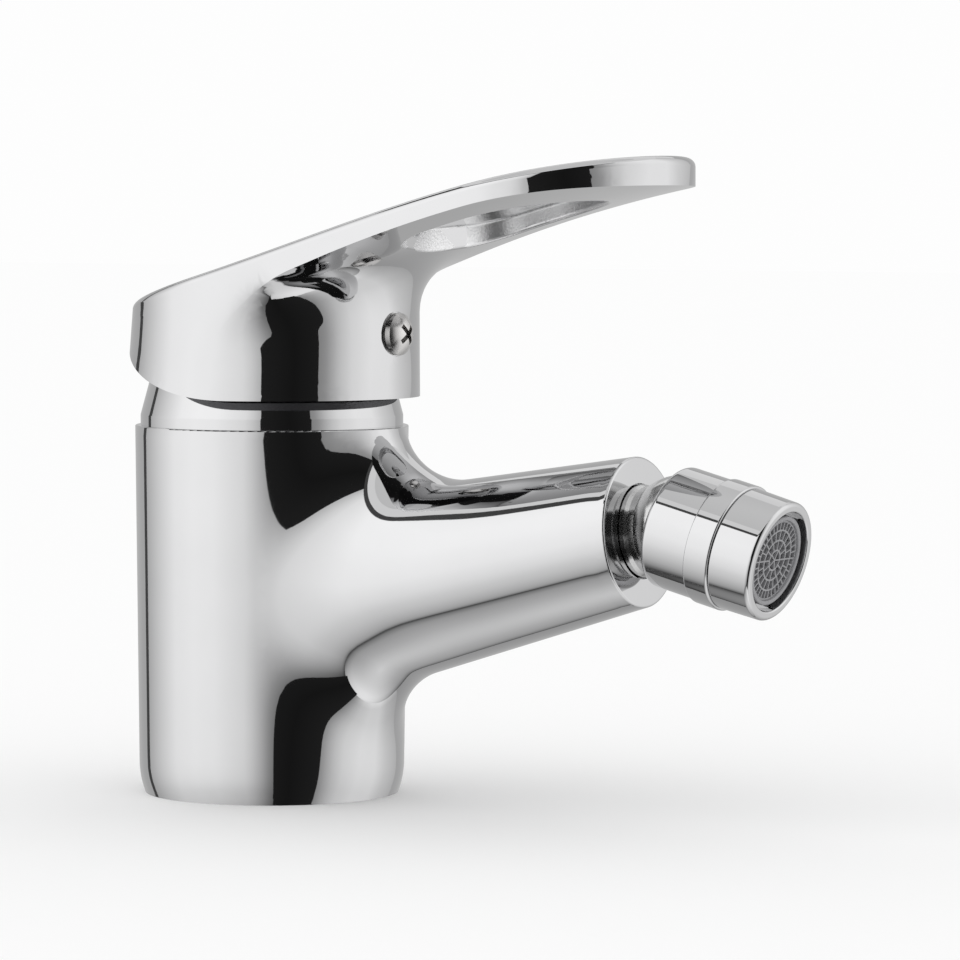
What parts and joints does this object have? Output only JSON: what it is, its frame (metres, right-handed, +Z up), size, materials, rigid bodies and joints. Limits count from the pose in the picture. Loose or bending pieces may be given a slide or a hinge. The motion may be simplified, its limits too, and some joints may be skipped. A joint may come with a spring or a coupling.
{
  "type": "bidet mixer",
  "caption": "Single-lever bidet mixer with a round pedestal body, a tapering spout and a spray end on a ball joint.",
  "frame": {"origin": "centre of the round foot at the height of the deck it stands on, at the mouth of the recess", "axes": "+Z up, +X towards the spray end, +Y the cold side, and the mixer is symmetric about the XZ plane at rest"},
  "size_m": [0.1413, 0.0566, 0.1228],
  "materials": {
    "polished_chrome": "mirror-polished chrome plate",
    "stainless_steel": "plain bright",
    "raw_brass": "machined",
    "white_polymer": "moulded",
    "grey_polymer": "moulded",
    "ceramic": "lapped ceramic",
    "black_rubber": "moulded"
  },
  "bodies": {
    "mixer_body": {"body": "polished_chrome", "base_seal": "black_rubber", "cartridge_base": "white_polymer", "port_seals": "black_rubber", "lower_disc": "ceramic", "cartridge_housing": "white_polymer", "retaining_nut": "raw_brass", "dome_ring": "polished_chrome", "ball_stem": "polished_chrome", "stem_gasket": "black_rubber"},
    "cartridge_rotor": {"rotor": "grey_polymer", "rotor_seal": "black_rubber", "stem_pin": "stainless_steel"},
    "disc_slider": {"disc_carrier": "white_polymer", "upper_disc": "ceramic"},
    "handle": {"lever": "polished_chrome", "lever_screw": "stainless_steel", "spindle": "raw_brass"},
    "stem_seal": {"ball_seal": "black_rubber"},
    "ball_seat": {"seat_ring": "white_polymer"},
    "spray_end": {"swivel_housing": "polished_chrome", "aerator_housing": "polished_chrome", "aerator_gasket": "black_rubber", "aerator_body": "grey_polymer", "aerator_sieve": "stainless_steel", "mixing_screens": "grey_polymer", "aerator_grid": "grey_polymer"}
  },
  "joints": [
    {"name": "lever_turn", "type": "hinge", "parent": "mixer_body", "child": "cartridge_rotor", "pos_m": [0, 0, 0.064], "axis": [0, 0, 1], "range_deg": [-50, 50]},
    {"name": "lever_lift", "type": "hinge", "parent": "cartridge_rotor", "child": "handle", "pos_m": [0, 0, 0.064], "axis": [0, -1, 0], "range_deg": [0, 25]},
    {"name": "disc_slide", "type": "slide", "parent": "cartridge_rotor", "child": "disc_slider", "axis": [1, 0, 0], "range_m": [0, 0.0035]},
    {"name": "swivel_turn", "type": "hinge", "parent": "mixer_body", "child": "stem_seal", "pos_m": [0.091, 0, 0.05419], "axis": [0.9968, 0, 0.0802], "continuous": true},
    {"name": "swivel_tilt", "type": "hinge", "parent": "stem_seal", "child": "ball_seat", "pos_m": [0.091, 0, 0.05419], "axis": [0, 1, 0], "range_deg": [-39, 1]},
    {"name": "spray_spin", "type": "hinge", "parent": "ball_seat", "child": "spray_end", "pos_m": [0.091, 0, 0.05419], "axis": [0.9686, 0, -0.2487], "continuous": true}
  ],
  "couplings": [
    {"joint": "disc_slide", "follows": "lever_lift", "m_per_rad": 0.0079367}
  ]
}
